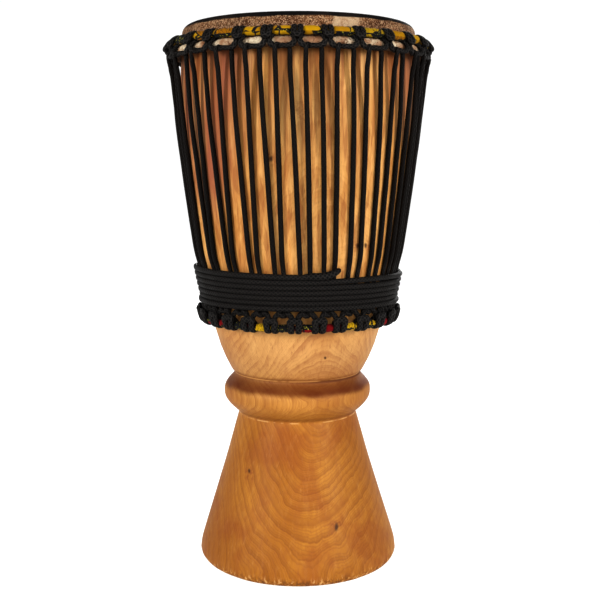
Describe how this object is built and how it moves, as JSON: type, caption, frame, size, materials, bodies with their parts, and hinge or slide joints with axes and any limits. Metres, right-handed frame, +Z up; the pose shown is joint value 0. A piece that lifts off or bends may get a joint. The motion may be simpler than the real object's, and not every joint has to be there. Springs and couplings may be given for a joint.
{
  "type": "bougarabou drum",
  "caption": "Goblet-shaped hand drum carved from one log, with a hide head pulled down by hoops and black lacing rope, standing on a flared foot.",
  "frame": {"origin": "centre of the foot's resting ring, on the floor", "axes": "+Z up along the drum's axis, -Y towards the viewer of the picture, +X to the right"},
  "size_m": [0.3025, 0.3032, 0.6118],
  "materials": {
    "carved_wood": "hand-carved orange-brown hardwood, oiled, with faint tool marks",
    "hide": "shaved animal hide, brown mottled collar, dark playing surface",
    "hoop_steel": "plain round steel rod bent to a ring",
    "crown_cloth": "printed cotton strip, yellow, orange and black",
    "lower_cloth": "printed cotton strip, red, yellow and black",
    "black_rope": "low-stretch polyester rope with a fine plaited sheath"
  },
  "bodies": {
    "root": {"shell": "carved_wood", "head_skin": "hide", "flesh_hoop": "hoop_steel", "crown_hoop": "hoop_steel", "crown_hoop_cloth": "crown_cloth", "lower_hoop": "hoop_steel", "lower_hoop_cloth": "lower_cloth", "crown_loop_rope": "black_rope", "lower_loop_rope": "black_rope", "lacing_rope": "black_rope", "binding_rope": "black_rope"}
  },
  "joints": []
}
